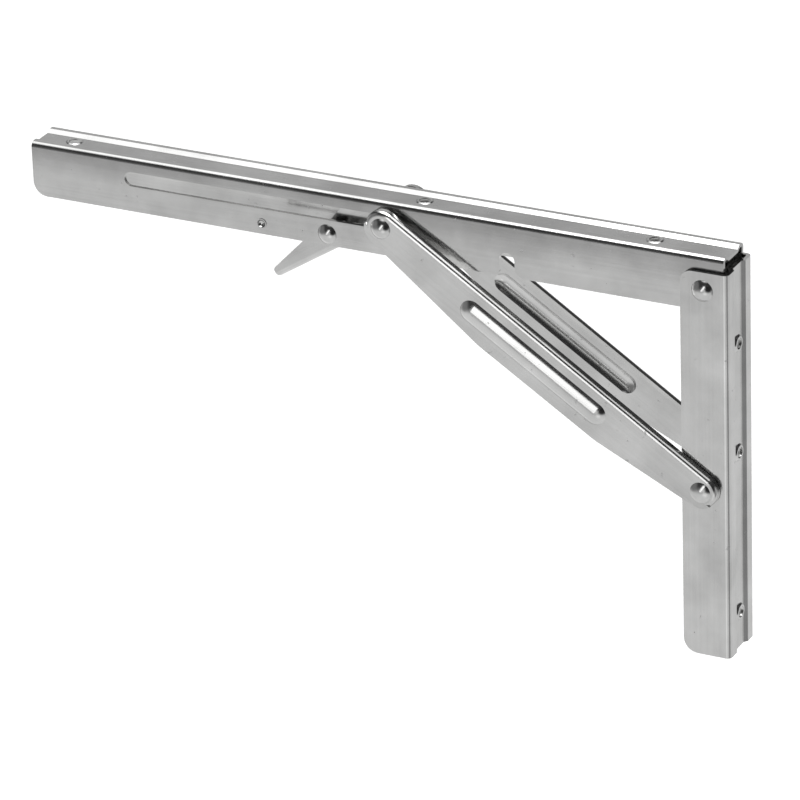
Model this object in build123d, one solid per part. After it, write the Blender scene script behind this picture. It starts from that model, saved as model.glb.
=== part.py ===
from build123d import *
import os
from math import acos, atan2, cos, degrees, hypot, pi, radians, sin, sqrt, tan

# The bracket is screwed to a wall and holds a shelf on its arm. X runs out from the wall, Z up, Y across.
# Sizes are drawn from the corner of the wall face and the shelf face, at mid-width.
# The parts are written with their origin on the wall face, midway between the outer wall screws.

# sheet
sheet = 1.5
arm_bend = 2.2
wall_bend = 2.2

# how far a cutting shape reaches past what it cuts
overrun = 80.0

# clearances
turn_gap = 0.05
side_gap = 0.2
channel_gap = 0.85
brace_gap = 0.35
open_pivot_gap = 0.35
slot_gap = 0.22
latch_gap = 0.3

# shelf arm
arm_width = 18.9
arm_height = 22.85
arm_start = 2.7
arm_end = 305.5
arm_corner = 6.0
arm_crown_edge = 5.7
arm_floor_edge = 3.8
arm_recess = 1.2
heel_reach = 8.7
heel_run = 9.0
arm_screw_last = 14.7
arm_screw_x = (35.4, 133.9, arm_end - arm_screw_last)

# wall channel
wall_depth = 19.9
wall_top = -5.9
wall_bottom = -169.8
wall_top_corner = 5.0
wall_bottom_corner = 6.0
wall_crown_edge = 5.4
wall_floor_edge = 3.9
wall_recess = 1.2
wall_screw_z = (-38.8, -85.2, -154.4)

# pressed screw dimples, countersunk from the hollow side
screw_hole = 4.6
dimple_base = 7.2
dimple_top = 6.0
arm_dimple_rise = 0.35
wall_dimple_rise = 0.8
sink_width = 8.0
sink_depth = 1.2

# pivots, as (x, z)
hinge_at = (10.6, -13.6)
foot_drop = 83.8
slide_at = (145.8, -8.9)
lever_height = 4.8
lever_at = (172.7, lever_height - arm_height)
stop_height = 4.55
stop_at = (201.8, stop_height - arm_height)
fold_deg = 88.0

# slot for the slide shoes
slot_height = 6.2
slot_spare = 4.4

# notch that takes the foot sleeve when the arm is folded
notch_width = 6.6
notch_lead = 0.0
notch_depth = 9.95
notch_outer_round = 0.25 * notch_depth
notch_wall_round = 0.45 * notch_depth

# brace plates
lip_depth = 3.5
brace_bend = 1.9
foot_round = 6.9
slide_round = 7.2
belly_start = 45.0
belly_end = 104.0
belly_foot = 12.6
belly_slide = 13.1
belly_round = 30.0
lip_cut = -2.6
rib_start = 46.5
rib_end = 118.5
rib_drop = 2.9
rib_width = 9.6
rib_rise = 1.8

# rivets
hinge_shank = 2.5
hinge_head = 4.5
foot_shank = 2.0
foot_head = 4.3
slide_shank = 2.0
slide_head = 4.3
lever_shank = 2.0
lever_head = 4.1
tall_head = 1.9
low_head = 1.7
flat_head = 1.25

# sleeves, washers and spacers
hinge_sleeve_radius = 4.0
foot_sleeve_radius = 2.8
foot_washer_radius = 4.8
hinge_washer_radius = 5.4
spacer_radius = 4.4
bush_radius = 3.6

# slide shoes
shoe_radius = slot_height / 2 - slot_gap
shoe_collar_radius = 4.3
shoe_collar = 0.9
shoe_inner_end = 5.7
ring_radius = 4.0
ring_thick = 0.8

# release lever
lever_width = 10.8
lever_sheet = 1.2
lever_bend = 2.4
latch_pin_radius = 1.5
latch_pin_length = 13.2
finger_round = 2.4
finger_rise = 3.63
hub_radius = 4.2
handle_tip = (27.1, -21.2)
handle_end = (24.7, -24.6)
handle_back = (11.5, -5.1)
cam_low = (1.1, 3.6)
cam_high = (-4.3, 10.4)
cam_step = 2.2
web_start = (-7.7, -4.2)
tip_round = 1.7

# return spring and stop pin
wire = 0.9
coil_radius = 3.3
coil_turns = 4
coil_pitch = 1.05
spring_leg = 18.0
leg_overhang = 2.5
leg_gap = 0.1
stop_radius = 2.1
stop_dish = 1.7
stop_dish_depth = 1.1
stop_reach = 8.8
stop_proud = 0.25

arm_half = arm_width / 2
arm_inside = arm_half - sheet
wall_inside = arm_half + channel_gap
wall_half = wall_inside + sheet
lip_inside = wall_half + brace_gap
brace_half = lip_inside + lip_depth
brace_inside = brace_half - sheet
lever_half = lever_width / 2
lever_inside = lever_half - lever_sheet
foot_at = (hinge_at[0], hinge_at[1] - foot_drop)
slide_run = (slide_at[0] - foot_at[0], slide_at[1] - foot_at[1])
brace_length = hypot(*slide_run)
brace_angle = degrees(atan2(slide_run[1], slide_run[0]))
fold = radians(fold_deg)
folded_foot_x = hinge_at[0] + foot_drop * sin(fold)
folded_foot_z = hinge_at[1] - foot_drop * cos(fold)
folded_slide_x = folded_foot_x + sqrt(brace_length**2 - (slide_at[1] - folded_foot_z) ** 2)
slot_low_end = slide_at[0] - slot_height / 2
slot_end = folded_slide_x + slot_height / 2 + slot_spare
notch_x = folded_foot_x - notch_lead
notch_top = notch_depth - arm_height
shoe_collar_face = arm_half + side_gap + shoe_collar
spacer_face = shoe_collar_face + open_pivot_gap


def across(x, z, radius, y_low, y_high):
    """A round bar along Y."""
    bar = Cylinder(radius, y_high - y_low, rotation=(90, 0, 0))
    return Pos(x, (y_low + y_high) / 2, z) * bar


def tube(x, z, radius, bore, y_low, y_high):
    return across(x, z, radius, y_low, y_high) - across(x, z, bore, y_low - 1, y_high + 1)


def dome(x, z, radius, height, face, side):
    """A domed rivet head that stands on the face at this Y."""
    ball = (radius**2 + height**2) / (2 * height)
    ball_y = side * (face + height - ball)
    keep = Box(2 * radius + 1, height, 2 * radius + 1)
    keep = Pos(x, side * (face + height / 2), z) * keep
    return (Pos(x, ball_y, z) * Sphere(ball)) & keep


def slab(face, y_low, y_high):
    """A sketch drawn as (x, z), made solid between two Y values."""
    solid = extrude(Plane.XZ * face, amount=y_high - y_low)
    return Pos(0, y_high, 0) * solid


def mirrored(solid):
    return mirror(solid.solids()[0], about=Plane.XZ)


def channel_face(half, depth, crown_edge, floor_edge, recess, bend):
    """Section of a channel with edge ridges and a sunken floor: crowns at zero, flanges to -depth."""
    slope = atan2(recess, crown_edge - floor_edge)
    shift = sheet * tan(slope / 2)
    outer = [
        (half, -depth),
        (half, 0),
        (crown_edge, 0),
        (floor_edge, -recess),
        (-floor_edge, -recess),
        (-crown_edge, 0),
        (-half, 0),
        (-half, -depth),
    ]
    inner = [
        (half - sheet, -depth - 1),
        (half - sheet, -sheet),
        (crown_edge + shift, -sheet),
        (floor_edge + shift, -recess - sheet),
        (-floor_edge - shift, -recess - sheet),
        (-crown_edge - shift, -sheet),
        (-half + sheet, -sheet),
        (-half + sheet, -depth - 1),
    ]
    outside = make_face(Polyline(*outer, close=True))
    inside = make_face(Polyline(*inner, close=True))
    corners = outside.vertices().sort_by(Axis.Y)[-4:]
    outside = fillet([v for v in corners if abs(v.X) > half - 0.01], bend)
    sides = [v for v in inside.vertices() if abs(abs(v.X) - half + sheet) < 0.01]
    inside = fillet([v for v in sides if v.Y > -sheet - 0.01], bend - sheet)
    return outside - inside


def dimple(solid, place, recess, height):
    """Presses a screw dimple into the floor. place has local Z outward and the crowns at zero."""
    rise = Pos(0, 0, -recess + height / 2) * Cone(dimple_base / 2, dimple_top / 2, height)
    sink = Pos(0, 0, -recess - sheet + sink_depth / 2) * Cone(sink_width / 2, screw_hole / 2, sink_depth)
    hole = Cylinder(screw_hole / 2, 12)
    solid = solid + place * rise
    return solid - place * sink - place * hole


def make_wall_channel():
    face = channel_face(wall_half, wall_depth, wall_crown_edge, wall_floor_edge, wall_recess, wall_bend)
    upright = Plane(origin=(0, 0, wall_bottom), x_dir=(0, 1, 0), z_dir=(0, 0, 1))
    body = extrude(upright * face, amount=wall_top - wall_bottom)
    for end, corner in ((wall_top, wall_top_corner), (wall_bottom, wall_bottom_corner)):
        front = [e for e in body.edges().filter_by(Axis.Y) if abs(e.center().X - wall_depth) < 0.01]
        body = fillet([e for e in front if abs(e.center().Z - end) < 0.01], corner)
    for z in wall_screw_z:
        place = Location(Plane(origin=(0, 0, z), x_dir=(0, 1, 0), z_dir=(-1, 0, 0)))
        body = dimple(body, place, wall_recess, wall_dimple_rise)
    for (x, z), shank in ((hinge_at, hinge_shank), (foot_at, foot_shank)):
        body = body - across(x, z, shank + turn_gap, -wall_half - 1, wall_half + 1)
    return body


def arm_side():
    """Side outline of the arm's flanges, with the rounded heel behind the hinge."""
    hx, hz = hinge_at
    heel_x = hx - arm_start
    heel_z = (heel_reach**2 - heel_x**2) ** 0.5
    middle = radians(235)
    heel = ThreePointArc(
        (arm_start, hz - heel_z),
        (hx + heel_reach * cos(middle), hz + heel_reach * sin(middle)),
        (hx, hz - heel_reach),
    )
    rest = Polyline(
        (hx, hz - heel_reach),
        (hx + heel_run, -arm_height),
        (arm_end, -arm_height),
        (arm_end, 1),
        (arm_start, 1),
        (arm_start, hz - heel_z),
    )
    outline = make_face([heel, rest])
    corner = outline.vertices().sort_by_distance((arm_end, -arm_height))[0]
    outline = fillet(corner, arm_corner)
    half = notch_width / 2
    notch = Polyline(
        (notch_x - half, -overrun),
        (notch_x - half, notch_top),
        (notch_x + half, notch_top),
        (notch_x + half, -overrun),
        close=True,
    )
    notch = make_face(notch)
    notch = fillet(notch.vertices().sort_by(Axis.Y)[-2:], half - 0.01)
    outline = outline - notch
    wall = outline.vertices().sort_by_distance((notch_x - half, -arm_height))[0]
    outline = fillet(wall, notch_wall_round)
    outer = outline.vertices().sort_by_distance((notch_x + half, -arm_height))[0]
    outline = fillet(outer, notch_outer_round)
    slot = SlotOverall(slot_end - slot_low_end, slot_height)
    return outline - Pos((slot_low_end + slot_end) / 2, slide_at[1]) * slot


def make_shelf_arm():
    face = channel_face(arm_half, arm_height, arm_crown_edge, arm_floor_edge, arm_recess, arm_bend)
    along = Plane(origin=(arm_start, 0, 0), x_dir=(0, 1, 0), z_dir=(1, 0, 0))
    body = extrude(along * face, amount=arm_end - arm_start)
    body = body & slab(arm_side(), -arm_half - 1, arm_half + 1)
    for x in arm_screw_x:
        body = dimple(body, Pos(x, 0, 0), arm_recess, arm_dimple_rise)
    for (x, z), shank in ((hinge_at, hinge_shank), (lever_at, lever_shank)):
        body = body - across(x, z, shank + turn_gap, -arm_half - 1, arm_half + 1)
    return body - across(*stop_at, stop_radius + turn_gap, 0, arm_half + 1)


def rivet(at, shank, head, height, face):
    """A rivet from face to face, with a domed head at each end."""
    x, z = at
    body = across(x, z, shank, -face - 0.1, face + 0.1)
    for side in (1, -1):
        body = body + dome(x, z, head, height, face + side_gap / 4, side)
    return body


def brace_outline(inset):
    """Outline of a brace plate in its own frame: the foot pivot at zero, the slide pivot on the X axis."""
    foot = foot_round - inset
    slide = slide_round - inset
    belly = [
        (0, -foot),
        (belly_start, -belly_foot + inset),
        (belly_end, -belly_slide + inset),
        (brace_length, -slide),
        (brace_length, slide),
        (0, foot),
    ]
    plate = make_face(Polyline(*belly, close=True))
    bends = [v for v in plate.vertices() if v.Y < -min(belly_foot, belly_slide) + inset + 0.3]
    plate = fillet(bends, belly_round)
    return plate + Circle(foot) + Pos(brace_length, 0) * Circle(slide)


def brace_rib(inset):
    """The rib pressed out of the plate's outer face, as a long round-ended bar that stands above zero."""
    radius = (rib_width**2 / 4 + rib_rise**2) / (2 * rib_rise)
    middle = radius - rib_rise
    size = radius - inset
    thick = 2 * size
    long = rib_end - rib_start - rib_width + thick
    upper_half = Pos(0, size) * Rectangle(long + 1, thick)
    bar = revolve(SlotOverall(long, thick) & upper_half, Axis.X)
    return Pos((rib_start + rib_end) / 2, -rib_drop, middle) * bar


def make_brace_plate():
    """The plate on the +Y side. Its outer face lies on local zero and local Z runs inward."""
    shell = extrude(brace_outline(0), amount=lip_depth)
    outer_edges = shell.faces().sort_by(Axis.Z)[0].edges()
    shell = fillet(outer_edges, brace_bend)
    inner = Pos(0, 0, sheet) * extrude(brace_outline(sheet), amount=lip_depth)
    shell = shell - inner
    reach = brace_length + overrun
    upper = Pos(brace_length / 2, lip_cut + reach / 2, lip_depth / 2) * Box(reach, reach, lip_depth + 2)
    flat = extrude(brace_outline(0), amount=sheet)
    plate = (shell & upper) + (flat - upper)
    outside = Pos(brace_length / 2, 0, (sheet - overrun) / 2) * Box(reach, reach, overrun)
    plate = plate + (brace_rib(0) & outside)
    plate = plate - brace_rib(sheet)
    plate = plate - Cylinder(foot_shank + turn_gap, 20)
    plate = plate - Pos(brace_length, 0, 0) * Cylinder(slide_shank + turn_gap, 20)
    lean = radians(brace_angle)
    place = Plane(
        origin=(foot_at[0], brace_half, foot_at[1]),
        x_dir=(cos(lean), 0, sin(lean)),
        z_dir=(0, -1, 0),
    )
    return Location(place) * plate


def make_slide_rivet():
    """A stub rivet through one brace plate, short of the slide shoe that it meets."""
    x, z = slide_at
    body = across(x, z, slide_shank, spacer_face, brace_half + 0.1)
    return body + dome(x, z, slide_head, tall_head, brace_half + side_gap / 4, 1)


def make_slide_spacer():
    x, z = slide_at
    return tube(x, z, spacer_radius, slide_shank + turn_gap, spacer_face, brace_inside - turn_gap)


def make_slide_shoe():
    x, z = slide_at
    body = across(x, z, shoe_radius, shoe_inner_end, arm_half + side_gap)
    collar = across(x, z, shoe_collar_radius, arm_half + side_gap, shoe_collar_face)
    return body + collar


def make_shoe_ring():
    x, z = slide_at
    outer = arm_inside - side_gap
    return tube(x, z, ring_radius, shoe_radius + turn_gap, outer - ring_thick, outer)


def latch_pin_place():
    """The latch pin stands on the line from lever pivot to slide pivot, so turning brings it no closer."""
    dx = slide_at[0] - lever_at[0]
    dz = slide_at[1] - lever_at[1]
    reach = hypot(dx, dz)
    share = (reach - shoe_radius - latch_pin_radius - latch_gap) / reach
    return lever_at[0] + dx * share, lever_at[1] + dz * share


def from_lever(point):
    """A point given from the lever's pivot, as (x, z) of the bracket."""
    return lever_at[0] + point[0], lever_at[1] + point[1]


def lever_outline():
    px, pz = latch_pin_place()
    lx, lz = lever_at
    peak = from_lever(cam_high)
    handle = [
        from_lever(handle_tip),
        from_lever(handle_back),
        from_lever(cam_low),
        peak,
        (peak[0] - cam_step, pz + finger_rise),
        (px, pz + finger_round),
        (px, pz - finger_round),
        (lx - hub_radius - 1.2, pz - finger_round - 0.3),
        (lx - hub_radius, lz + 1.0),
        (lx - hub_radius - 0.8, lz - hub_radius + 1.0),
        from_lever(web_start),
        from_lever(handle_end),
    ]
    plate = make_face(Polyline(*handle, close=True))
    rounds = ((handle_tip, tip_round), (handle_end, tip_round), (cam_high, 1.5), (handle_back, 6.0))
    for point, radius in rounds:
        x, z = from_lever(point)
        vertex = plate.vertices().sort_by_distance((x, z, 0))[0]
        plate = fillet(vertex, radius)
    return plate + Pos(px, pz) * Circle(finger_round)


def web_run():
    """Start of the lever's folded lower edge, its direction towards the handle's end, and its length."""
    run = (handle_end[0] - web_start[0], handle_end[1] - web_start[1])
    span = hypot(*run)
    return from_lever(web_start), (run[0] / span, run[1] / span), span


def lever_hollow():
    """Side outline of the space between the lever's plates: all but the folded edge and the tip."""
    (wx, wz), (ux, uz), span = web_run()
    inner_x = wx - uz * lever_sheet
    inner_z = wz + ux * lever_sheet
    end_run = span - lever_sheet * 0.8
    start = (inner_x - ux * overrun, inner_z - uz * overrun)
    end = (inner_x + ux * end_run, inner_z + uz * end_run)
    tip_x, tip_z = from_lever(handle_tip)
    tip = (tip_x - lever_sheet * 1.1, tip_z - lever_sheet * 0.2)
    above = overrun + tip_z
    far = (tip_x + overrun, above)
    near = (start[0] - overrun, above)
    return make_face(Polyline(start, end, tip, far, near, close=True))


def folded_bar(half, low, bend):
    """A long bar along the lever's lower edge, low above it, with its two lower edges bent round."""
    (wx, wz), (ux, uz), span = web_run()
    along = Plane(origin=(wx, 0, wz), x_dir=(0, 1, 0), z_dir=(ux, 0, uz))
    face = make_face(Polyline((-half, low), (half, low), (half, overrun), (-half, overrun), close=True))
    face = fillet(face.vertices().sort_by(Axis.Y)[:2], bend)
    return extrude(along * face, amount=overrun, both=True)


def make_release_lever():
    body = slab(lever_outline(), -lever_half, lever_half) & folded_bar(lever_half, 0, lever_bend)
    hollow = slab(lever_hollow(), -lever_inside, lever_inside)
    body = body - (hollow & folded_bar(lever_inside, lever_sheet, lever_bend - lever_sheet))
    x, z = lever_at
    body = body - across(x, z, lever_shank + turn_gap, -lever_half - 1, lever_half + 1)
    px, pz = latch_pin_place()
    return body - across(px, pz, latch_pin_radius + turn_gap, -lever_half - 1, lever_half + 1)


def make_stop_pin():
    """A short pin in the +Y flange with a dished end, reaching in over the lever."""
    x, z = stop_at
    face = arm_half + stop_proud
    dish = (stop_dish**2 + stop_dish_depth**2) / (2 * stop_dish_depth)
    body = across(x, z, stop_radius, face - stop_reach, face)
    return body - Pos(x, face + dish - stop_dish_depth, z) * Sphere(dish)


def between(start, end, share):
    """The point at this share of the way from start to end."""
    return tuple(a + (b - a) * share for a, b in zip(start, end))


def make_return_spring():
    """Torsion spring round the lever's rivet: one leg under the stop pin, the other on the lever's web."""
    x, z = lever_at
    half = coil_turns * coil_pitch / 2
    fixed = (stop_at[0] - x + leg_overhang, stop_at[1] - z - stop_radius - wire / 2 - leg_gap)
    (wx, wz), (ux, uz), span = web_run()
    rise = lever_sheet + wire / 2 + leg_gap
    along = (x - wx) * ux + (z - wz) * uz + spring_leg
    foot = (wx - x + ux * along - uz * rise, wz - z + uz * along + ux * rise)
    start = atan2(fixed[1], fixed[0]) - acos(coil_radius / hypot(*fixed))
    end = atan2(foot[1], foot[0]) + acos(coil_radius / hypot(*foot)) - 2 * pi * coil_turns
    steps = 14 * coil_turns
    ring = []
    for step in range(steps + 1):
        share = step / steps
        angle = start + (end - start) * share
        ring.append((coil_radius * cos(angle), half - 2 * half * share, coil_radius * sin(angle)))
    leg_in = [between((fixed[0], half, fixed[1]), ring[0], share) for share in (0, 0.5, 0.85)]
    leg_out = [between(ring[-1], (foot[0], -half, foot[1]), share) for share in (0.2, 0.6, 1)]
    path = Spline(*[(x + px, py, z + pz) for px, py, pz in leg_in + ring + leg_out])
    profile = Plane(origin=path @ 0, z_dir=path % 0) * Circle(wire / 2)
    return sweep(profile, path=path)


def make_all():
    hx, hz = hinge_at
    fx, fz = foot_at
    lx, lz = lever_at
    px, pz = latch_pin_place()
    plate = make_brace_plate()
    shoe = make_slide_shoe()
    ring = make_shoe_ring()
    stub = make_slide_rivet()
    spacer = make_slide_spacer()
    hinge_bore = hinge_shank + turn_gap
    foot_bore = foot_shank + turn_gap
    lever_bore = lever_shank + turn_gap
    hinge_face = arm_inside - side_gap
    foot_face = wall_inside - turn_gap
    hinge_sleeve = tube(hx, hz, hinge_sleeve_radius, hinge_bore, -hinge_face, hinge_face)
    hinge_washer = tube(hx, hz, hinge_washer_radius, hinge_bore, arm_half + turn_gap, wall_inside - turn_gap)
    foot_sleeve = tube(fx, fz, foot_sleeve_radius, foot_bore, -foot_face, foot_face)
    washer_end = brace_inside - turn_gap
    foot_washer = tube(fx, fz, foot_washer_radius, foot_bore, wall_half + turn_gap, washer_end)
    lever_bush = tube(lx, lz, bush_radius, lever_bore, lever_half + side_gap, arm_inside - turn_gap)
    return {
        "wall_channel": make_wall_channel(),
        "shelf_arm": make_shelf_arm(),
        "hinge_rivet": rivet(hinge_at, hinge_shank, hinge_head, tall_head, wall_half),
        "hinge_sleeve": hinge_sleeve,
        "hinge_washer_left": hinge_washer,
        "hinge_washer_right": mirrored(hinge_washer),
        "foot_rivet": rivet(foot_at, foot_shank, foot_head, flat_head, brace_half),
        "foot_sleeve": foot_sleeve,
        "foot_washer_left": foot_washer,
        "foot_washer_right": mirrored(foot_washer),
        "brace_plate_left": plate,
        "brace_plate_right": mirrored(plate),
        "slide_rivet_left": stub,
        "slide_rivet_right": mirrored(stub),
        "slide_spacer_left": spacer,
        "slide_spacer_right": mirrored(spacer),
        "slide_shoe_left": shoe,
        "slide_shoe_right": mirrored(shoe),
        "shoe_ring_left": ring,
        "shoe_ring_right": mirrored(ring),
        "lever_rivet": rivet(lever_at, lever_shank, lever_head, low_head, arm_half),
        "lever_bush_left": lever_bush,
        "lever_bush_right": mirrored(lever_bush),
        "release_lever": make_release_lever(),
        "latch_pin": across(px, pz, latch_pin_radius, -latch_pin_length / 2, latch_pin_length / 2),
        "return_spring": make_return_spring(),
        "stop_pin": make_stop_pin(),
    }


screw_middle = (wall_screw_z[0] + wall_screw_z[-1]) / 2
os.makedirs("parts", exist_ok=True)
for name, solid in make_all().items():
    export_step(Pos(0, 0, -screw_middle) * solid, f"parts/{name}.step")
    print(name, round(solid.volume, 2))
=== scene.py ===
# Folding shelf bracket in stainless steel: finishes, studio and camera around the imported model.
# Everything is in metres. X runs out from the wall, Z up, Y across.
import math

import bmesh
import bpy
from mathutils import Matrix, Vector


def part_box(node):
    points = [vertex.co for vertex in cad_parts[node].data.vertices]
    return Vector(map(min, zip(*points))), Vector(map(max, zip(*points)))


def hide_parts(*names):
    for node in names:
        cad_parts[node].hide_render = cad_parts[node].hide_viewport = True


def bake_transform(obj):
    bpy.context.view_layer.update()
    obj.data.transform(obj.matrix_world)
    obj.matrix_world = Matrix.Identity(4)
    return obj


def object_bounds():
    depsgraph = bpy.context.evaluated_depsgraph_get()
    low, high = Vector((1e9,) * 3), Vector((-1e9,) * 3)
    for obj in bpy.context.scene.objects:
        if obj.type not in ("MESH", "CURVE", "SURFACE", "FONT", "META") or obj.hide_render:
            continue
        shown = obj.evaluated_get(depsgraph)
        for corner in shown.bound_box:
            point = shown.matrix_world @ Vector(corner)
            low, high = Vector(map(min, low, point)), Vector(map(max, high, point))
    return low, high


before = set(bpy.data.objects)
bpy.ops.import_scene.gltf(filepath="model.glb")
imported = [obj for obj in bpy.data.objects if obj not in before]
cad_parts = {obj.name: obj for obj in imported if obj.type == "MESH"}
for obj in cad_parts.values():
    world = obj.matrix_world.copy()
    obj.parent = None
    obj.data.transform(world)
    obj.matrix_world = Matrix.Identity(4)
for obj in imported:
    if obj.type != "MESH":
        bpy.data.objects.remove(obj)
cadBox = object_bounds()
print("frame loaded:", len(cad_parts), "nodes")


class Wire:
    # one output socket of a node tree, so that shader maths reads as ordinary expressions
    def __init__(self, tree, socket):
        self.tree = tree
        self.socket = socket

    def maths(self, operation, first, second):
        return self.tree.add("ShaderNodeMath", {"operation": operation}, {0: first, 1: second})

    def __add__(self, other):
        return self.maths("ADD", self, other)

    def __radd__(self, other):
        return self.maths("ADD", other, self)

    def __sub__(self, other):
        return self.maths("SUBTRACT", self, other)

    def __rsub__(self, other):
        return self.maths("SUBTRACT", other, self)

    def __mul__(self, other):
        return self.maths("MULTIPLY", self, other)

    def __rmul__(self, other):
        return self.maths("MULTIPLY", other, self)


# a Mix node has sockets for every type of data: these are the ones for colours
mixFirst, mixSecond, mixResult = 6, 7, 2


class NodeTree:
    def __init__(self, owner):
        owner.use_nodes = True
        self.tree = owner.node_tree

    def add(self, kind, settings=None, inputs=None, output=0):
        node = self.tree.nodes.new(kind)
        for key, value in (settings or {}).items():
            if key == "stops":
                self.setStops(node.color_ramp, value)
            else:
                setattr(node, key, value)
        for key, value in (inputs or {}).items():
            self.feed(node.inputs[key], value)
        return Wire(self, node.outputs[output])

    def feed(self, socket, value):
        if isinstance(value, Wire):
            self.tree.links.new(value.socket, socket)
        else:
            socket.default_value = value

    def setStops(self, ramp, stops):
        while len(ramp.elements) < len(stops):
            ramp.elements.new(0.5)
        for element, (place, level) in zip(ramp.elements, stops):
            element.position = place
            element.color = (level, level, level, 1)

    def noise(self, vector, size, detail, roughness):
        inputs = {"Vector": vector, "Scale": 1 / size, "Detail": detail, "Roughness": roughness}
        return self.add("ShaderNodeTexNoise", {"noise_dimensions": "3D"}, inputs)

    def rise(self, value, start, end, smooth=False):
        # 0 up to start, 1 from end on
        kind = "SMOOTHSTEP" if smooth else "LINEAR"
        inputs = {"Value": value, "From Min": start, "From Max": end}
        return self.add("ShaderNodeMapRange", {"interpolation_type": kind}, inputs)

    def height(self, place):
        return self.add("ShaderNodeSeparateXYZ", inputs={0: place}, output="Z")

    def dot(self, first, second):
        settings = {"operation": "DOT_PRODUCT"}
        return self.add("ShaderNodeVectorMath", settings, {0: first, 1: second}, output="Value")

    def tint(self, dark, light, share):
        settings = {"data_type": "RGBA", "blend_type": "MIX"}
        inputs = {"Factor": share, mixFirst: (*dark, 1), mixSecond: (*light, 1)}
        return self.add("ShaderNodeMix", settings, inputs, mixResult)

    def bump(self, height):
        # the height is in metres
        return self.add("ShaderNodeBump", inputs={"Height": height, "Strength": 1.0, "Distance": 1.0})


def steel(name):
    material = bpy.data.materials.new(name)
    tree = NodeTree(material)
    surface = tree.tree.nodes["Principled BSDF"]
    surface.inputs["Metallic"].default_value = 1.0
    place = tree.add("ShaderNodeTexCoord", output="Object")
    return material, tree, surface.inputs, place


# each noise is given as its size, detail and roughness
sheetFinish = {
    "dark": (0.56, 0.56, 0.555),
    "light": (0.75, 0.75, 0.745),
    "clouds": (0.022, 3.0, 0.55),
    "patches": (0.0628571, 2.0, 0.5),
    "streaks": (1.0, 3.0, 0.6),
    "streakSpan": (0.09, 0.0009, 0.0009),  # how long and how wide a streak is
    "shadeShares": (0.55, 0.15, 0.3),  # of clouds, streaks and patches
    "mottle": (0.37, 0.63),  # what part of that mixture runs from dark to light
    "rough": (0.13, 0.24),
    "roughShares": (0.5, 0.5),  # of streaks and clouds
    "specks": (0.0024, 1.0, 0.5),
    "speckRange": (0.72, 0.77),
    "speckDepth": 0.000012,
    "waves": (0.030, 1.0, 0.4),
    "waveHeight": 0.00003,
    "streakHeight": 0.0000022,
    "grain": (0.00035, 2.0, 0.5),
    "grainHeight": 0.0000006,
    "bowDepth": 0.0008,
    "bowRun": 0.014,
}


def sheetMaterial(name, lean, shift, finish, bowTop=None):
    # satin rolled sheet: fine streaks along its length, soft clouds, a slight wave in the flats
    # and a few specks
    material, tree, inputs, place = steel(name)
    turns = {"Vector": place, "Location": shift, "Rotation": (0, lean, 0)}
    turned = tree.add("ShaderNodeMapping", inputs=turns)
    stretch = {"Vector": turned, "Scale": [1 / length for length in finish["streakSpan"]]}
    along = tree.add("ShaderNodeMapping", inputs=stretch)
    streaks = tree.noise(along, *finish["streaks"])
    clouds = tree.noise(turned, *finish["clouds"])
    patches = tree.noise(turned, *finish["patches"])
    waves = tree.noise(turned, *finish["waves"])
    grain = tree.noise(turned, *finish["grain"])
    specks = tree.rise(tree.noise(turned, *finish["specks"]), *finish["speckRange"])

    ofClouds, ofStreaks, ofPatches = finish["shadeShares"]
    mixture = clouds * ofClouds + streaks * ofStreaks + patches * ofPatches
    shade = tree.rise(mixture, *finish["mottle"])
    tree.feed(inputs["Base Color"], tree.tint(finish["dark"], finish["light"], shade * (1 - specks)))

    low, high = finish["rough"]
    ofStreaks, ofClouds = finish["roughShares"]
    wear = streaks * ofStreaks + clouds * ofClouds + specks
    tree.feed(inputs["Roughness"], low + (high - low) * wear)

    height = specks * -finish["speckDepth"] + waves * finish["waveHeight"]
    height = height + streaks * finish["streakHeight"] + grain * finish["grainHeight"]
    if bowTop is not None:
        # a folded flange leans in a little towards its bend
        nearBend = tree.rise(tree.height(place), bowTop - finish["bowRun"], bowTop)
        height = height - nearBend * nearBend * finish["bowDepth"]
    tree.feed(inputs["Normal"], tree.bump(height))
    return material


pinFinish = {
    "dark": (0.55, 0.55, 0.545),
    "light": (0.68, 0.68, 0.675),
    "rough": (0.13, 0.20),
    "roughShares": (0.6, 0.4),  # of marks and scratches
    "marks": (0.0022, 2.0, 0.5),
    "markHeight": 0.0000020,
    "scratches": (0.0004, 2.0, 0.6),
    "scratchHeight": 0.0000004,
}
wireFinish = {
    "dark": (0.36, 0.36, 0.355),
    "light": (0.50, 0.50, 0.49),
    "rough": (0.16, 0.30),
    "roughShares": (0.6, 0.4),
    "marks": (0.0030, 2.0, 0.5),
    "markHeight": 0.0000010,
    "scratches": (0.0003, 2.0, 0.6),
    "scratchHeight": 0.0000006,
}


def pinMaterial(name, finish):
    # turned and drawn steel: bright, with faint marks of tools and handling
    material, tree, inputs, place = steel(name)
    marks = tree.noise(place, *finish["marks"])
    scratches = tree.noise(place, *finish["scratches"])
    tree.feed(inputs["Base Color"], tree.tint(finish["dark"], finish["light"], marks))
    low, high = finish["rough"]
    ofMarks, ofScratches = finish["roughShares"]
    wear = marks * ofMarks + scratches * ofScratches
    tree.feed(inputs["Roughness"], low + (high - low) * wear)
    height = marks * finish["markHeight"] + scratches * finish["scratchHeight"]
    tree.feed(inputs["Normal"], tree.bump(height))
    return material


polished = pinMaterial("polished steel", pinFinish)
springWire = pinMaterial("drawn steel wire", wireFinish)

braceRun, braceRise = 0.1354, 0.0887  # from the brace's foot to the slide pivot
leverRun, leverFall = 0.0316, 0.0203  # along the lever's folded edge towards its tip
braceLean = math.atan2(braceRise, braceRun)
leverLean = -math.atan2(leverFall, leverRun)

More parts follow.
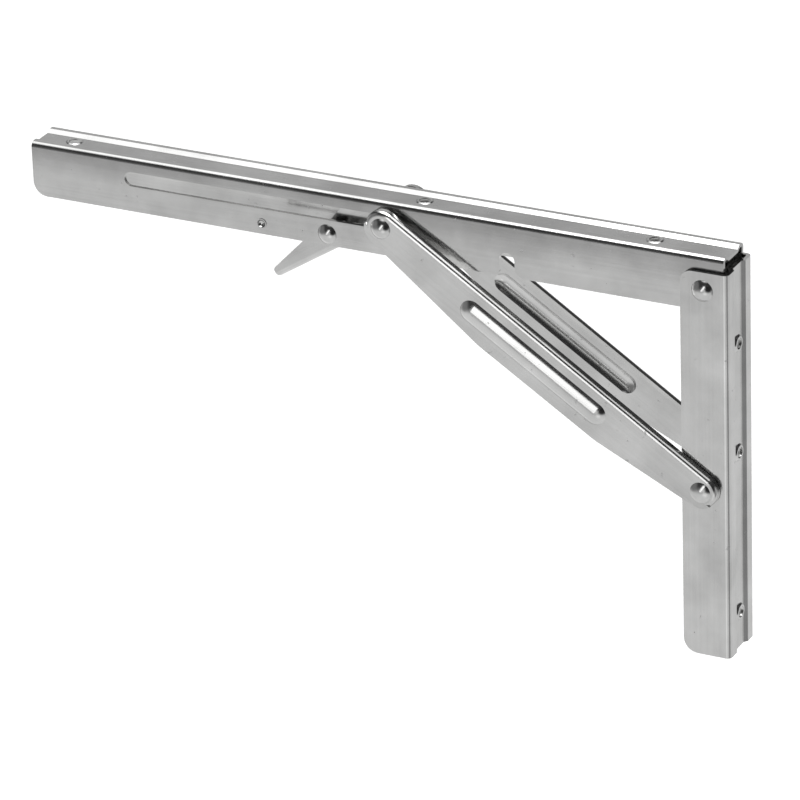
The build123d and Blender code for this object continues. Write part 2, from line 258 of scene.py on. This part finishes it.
# how far the streaks lean on each sheet, and a shift that gives it a pattern of its own
sheetNodes = {
    "shelf_arm": (0, (0, 0, 0)),
    "wall_channel": (math.pi / 2, (0.31, 0.12, 0)),
    "brace_plate_left": (braceLean, (0.07, 0.4, 0.2)),
    "brace_plate_right": (braceLean, (0.5, 0.1, 0.3)),
    "release_lever": (leverLean, (0.2, 0.7, 0.1)),
}
# small inner pieces that are duller than the rivets and pins
plainNodes = {
    "hinge_washer_left",
    "hinge_washer_right",
    "foot_washer_left",
    "foot_washer_right",
    "slide_spacer_left",
    "slide_spacer_right",
    "lever_bush_left",
    "lever_bush_right",
    "shoe_ring_left",
    "shoe_ring_right",
    "return_spring",
}


def finishNodes():
    for name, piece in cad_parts.items():
        if name in sheetNodes:
            lean, shift = sheetNodes[name]
            bowTop = cadBox[1].z if name == "shelf_arm" else None
            material = sheetMaterial("satin steel " + name, lean, shift, sheetFinish, bowTop)
        elif name in plainNodes:
            material = springWire
        else:
            material = polished
        if not piece.material_slots:
            piece.data.materials.append(material)
        for materialSlot in piece.material_slots:
            materialSlot.material = material


finishNodes()
print("finishes set")


returnSpring = {
    "wire": 0.0009,
    "wireSides": 12,
    "coilRadius": 0.0033,
    "turns": 4,
    "pitch": 0.00105,
    "stepsPerTurn": 24,
    "pastStopPin": 0.0025,
    "gap": 0.0001,
    "webAngle": -32.2,  # slope of the lever's folded edge in degrees
    "webDepth": 0.0059,  # from the rivet down to the leg that lies on that edge
    "webReach": 0.018,
    "stillShare": 0.75,  # the outer part of each half of the coil that turns with its leg's body
}


def makeReturnSpring(spring):
    # a coil round the lever's rivet: one leg stays under the stop pin, the other lies on the lever
    rivetLow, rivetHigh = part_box("lever_rivet")
    pinLow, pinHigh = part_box("stop_pin")
    pivot = (rivetLow + rivetHigh) / 2
    radius = spring["coilRadius"]
    half = spring["turns"] * spring["pitch"] / 2

    # both legs' ends, from the pivot
    legX = (pinLow.x + pinHigh.x) / 2 + spring["pastStopPin"] - pivot.x
    legZ = pinLow.z - spring["wire"] / 2 - spring["gap"] - pivot.z
    pinLeg = Vector((legX, half, legZ))
    lean = math.radians(spring["webAngle"])
    reach, depth = spring["webReach"], spring["webDepth"]
    footX = math.cos(lean) * reach + math.sin(lean) * depth
    footZ = math.sin(lean) * reach - math.cos(lean) * depth
    leverLeg = Vector((footX, -half, footZ))

    # the angles at which the straight legs leave the coil
    first = math.atan2(legZ, legX) - math.acos(radius / math.hypot(legX, legZ))
    last = math.atan2(footZ, footX) + math.acos(radius / math.hypot(footX, footZ))
    last = last - math.tau * spring["turns"]
    coilStart = Vector((radius * math.cos(first), half, radius * math.sin(first)))
    coilEnd = Vector((radius * math.cos(last), -half, radius * math.sin(last)))

    shape = bmesh.new()
    facing = (coilStart - pinLeg).to_track_quat("Z", "Y").to_matrix().to_4x4()
    place = Matrix.Translation(pivot + coilStart) @ facing
    sides = spring["wireSides"]
    bmesh.ops.create_circle(
        shape, cap_ends=False, radius=spring["wire"] / 2, segments=sides, matrix=place,
    )
    startRing = shape.edges[:]
    steps = spring["stepsPerTurn"] * spring["turns"]
    wound = bmesh.ops.spin(
        shape, geom=startRing, cent=pivot, axis=(0, -1, 0), angle=last - first, steps=steps,
        dvec=(0, -2 * half / steps, 0), use_merge=False, use_duplicate=False,
    )
    endRing = [part for part in wound["geom_last"] if isinstance(part, bmesh.types.BMEdge)]
    for ring, run in ((startRing, pinLeg - coilStart), (endRing, leverLeg - coilEnd)):
        drawn = bmesh.ops.extrude_edge_only(shape, edges=ring)
        moved = [part for part in drawn["geom"] if isinstance(part, bmesh.types.BMVert)]
        bmesh.ops.translate(shape, verts=moved, vec=run)
    for face in shape.faces:
        face.smooth = True
    bmesh.ops.holes_fill(shape, edges=shape.edges, sides=0)
    bmesh.ops.recalc_face_normals(shape, faces=shape.faces)
    mesh = bpy.data.meshes.new("torsion_spring")
    shape.to_mesh(mesh)
    shape.free()
    mesh.materials.append(springWire)
    piece = bpy.data.objects.new("torsion_spring", mesh)
    bpy.context.scene.collection.objects.link(piece)
    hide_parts("return_spring")
    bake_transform(piece)


makeReturnSpring(returnSpring)
print("return spring wound")


studio = {
    "backdrop": 1.0,  # how bright the room is where the camera sees it
    # elevation in degrees and how bright the room is there for the steel
    "levels": (
        (-90, 0.82),
        (-34, 0.80),
        (-25, 0.74),
        (-13, 0.42),
        (0, 0.15),
        (14, 0.05),
        (51, 0.03),
        (62, 1.3),
        (72, 1.6),
    ),
    "brightest": 4,  # the levels are stored as shares of this, because a ramp's colours end at 1
    # azimuth, elevation, half width and softness in degrees, brightness
    "cards": (
        (-62.6, 29.0, 24.0, 9.0, 0.50),
        (-50.0, -36.0, 30.0, 16.0, 1.25),
        (-20.0, 66.0, 16.0, 8.0, 1.5),
        (27.0, 8.0, 22.0, 14.0, 0.22),
        (124.0, 4.0, 20.0, 7.0, 0.02),
        (163.0, -25.0, 12.0, 8.0, 0.25),
        (101.0, -28.0, 10.0, 6.0, 1.05),
        (90.0, -3.0, 11.0, 6.0, 0.70),
        (-90.0, -3.0, 18.0, 10.0, 0.60),
        (180.0, 0.0, 13.0, 8.0, 0.55),
        (-5.0, -2.0, 14.0, 9.0, 0.45),
        # a chain that follows what the brace's rib mirrors
        (76.5, -8.0, 4.0, 3.0, 2.0),
        (82.5, 2.0, 4.5, 3.0, 2.1),
        (88.5, 11.0, 5.0, 3.0, 2.1),
        (94.0, 19.0, 5.0, 3.0, 2.1),
    ),
}


def direction(azimuth, elevation):
    # azimuth in degrees from X towards Y
    a, e = math.radians(azimuth), math.radians(elevation)
    return (math.cos(a) * math.cos(e), math.sin(a) * math.cos(e), math.sin(e))


def rampPlace(sine):
    # -1 to 1 becomes 0 to 1, a place on a ramp
    return sine * 0.5 + 0.5


def makeWorld():
    # a soft room: pale floor and ceiling, dark above the horizon, with a few soft cards
    world = bpy.data.worlds.new("studio")
    bpy.context.scene.world = world
    tree = NodeTree(world)
    background = tree.tree.nodes["Background"]
    way = tree.add("ShaderNodeTexCoord", output="Generated")
    brightest = studio["brightest"]
    stops = []
    for elevation, light in studio["levels"]:
        stops.append((rampPlace(math.sin(math.radians(elevation))), light / brightest))
    room = tree.add("ShaderNodeValToRGB", {"stops": stops}, {0: rampPlace(tree.height(way))})
    level = room * brightest
    for azimuth, elevation, width, soft, brightness in studio["cards"]:
        facing = tree.dot(way, direction(azimuth, elevation))
        outer = math.cos(math.radians(width + soft))
        inner = math.cos(math.radians(width - soft))
        share = tree.rise(facing, outer, inner, smooth=True)
        level = level + share * (brightness - level)
    seen = tree.add("ShaderNodeLightPath", output="Is Camera Ray")
    tree.feed(background.inputs["Color"], level + seen * (studio["backdrop"] - level))


paleFloor = {
    "size": 14.0,
    "drop": 1.6,  # far below, so that views from below see the bracket
    "aheadOfWall": 0.15,
    "colour": (0.9, 0.9, 0.9, 1),
    "roughness": 0.9,
    "glow": (1, 1, 1, 1),
    "glowStrength": 0.6,
}


def makeFloor(settings):
    mesh = bpy.data.meshes.new("floor")
    shape = bmesh.new()
    bmesh.ops.create_grid(shape, x_segments=1, y_segments=1, size=settings["size"] / 2)
    lowest = cadBox[0].z - settings["drop"]
    bmesh.ops.translate(shape, verts=shape.verts, vec=(settings["aheadOfWall"], 0, lowest))
    shape.to_mesh(mesh)
    shape.free()
    floor = bpy.data.objects.new("floor", mesh)
    bpy.context.scene.collection.objects.link(floor)
    material = bpy.data.materials.new("pale floor")
    surface = NodeTree(material).tree.nodes["Principled BSDF"]
    surface.inputs["Base Color"].default_value = settings["colour"]
    surface.inputs["Roughness"].default_value = settings["roughness"]
    surface.inputs["Specular IOR Level"].default_value = 0.0
    surface.inputs["Emission Color"].default_value = settings["glow"]
    surface.inputs["Emission Strength"].default_value = settings["glowStrength"]
    mesh.materials.append(material)
    # the steel mirrors the room alone
    floor.visible_glossy = False
    floor.visible_diffuse = False


overhead = {"azimuth": 80.0, "elevation": 86.0, "distance": 1.8, "size": 1.3, "watts": 22.0}


def makeLamp(settings):
    # a square softbox that faces the middle of the bracket
    light = bpy.data.lights.new("overheadSoftbox", "AREA")
    light.shape = "SQUARE"
    light.size = settings["size"]
    light.energy = settings["watts"]
    holder = bpy.data.objects.new("overheadSoftbox", light)
    middle = (cadBox[0] + cadBox[1]) / 2
    away = Vector(direction(settings["azimuth"], settings["elevation"]))
    holder.location = middle + away * settings["distance"]
    holder.rotation_mode = "QUATERNION"
    holder.rotation_quaternion = away.to_track_quat("Z", "Y")
    bpy.context.scene.collection.objects.link(holder)


viewpoint = {
    "target": (0.14783, 0.0, 0.00694),
    "azimuth": 27.41,  # in degrees from Y towards the wall
    "elevation": 25.16,
    "roll": -1.94,
    "distance": 2.34993,
    "lens": 265.95,
    "sensor": 36.0,
    "nearest": 0.05,
    "furthest": 60.0,
}


def makeCamera(settings):
    data = bpy.data.cameras.new("camera")
    data.lens = settings["lens"]
    data.sensor_width = settings["sensor"]
    data.clip_start = settings["nearest"]
    data.clip_end = settings["furthest"]
    camera = bpy.data.objects.new("camera", data)
    bpy.context.scene.collection.objects.link(camera)
    a, e = math.radians(settings["azimuth"]), math.radians(settings["elevation"])
    back = Vector((-math.sin(a) * math.cos(e), math.cos(a) * math.cos(e), math.sin(e)))
    right = (-back).cross(Vector((0, 0, 1))).normalized()
    up = right.cross(-back)
    roll = math.radians(settings["roll"])
    across = right * math.cos(roll) + up * math.sin(roll)
    upward = up * math.cos(roll) - right * math.sin(roll)
    turn = Matrix((across, upward, back)).transposed().to_4x4()
    place = Vector(settings["target"]) + back * settings["distance"]
    camera.matrix_world = Matrix.Translation(place) @ turn
    bpy.context.scene.camera = camera


makeWorld()
makeFloor(paleFloor)
makeLamp(overhead)
makeCamera(viewpoint)
bpy.context.scene.view_settings.view_transform = "Standard"
print("studio ready")
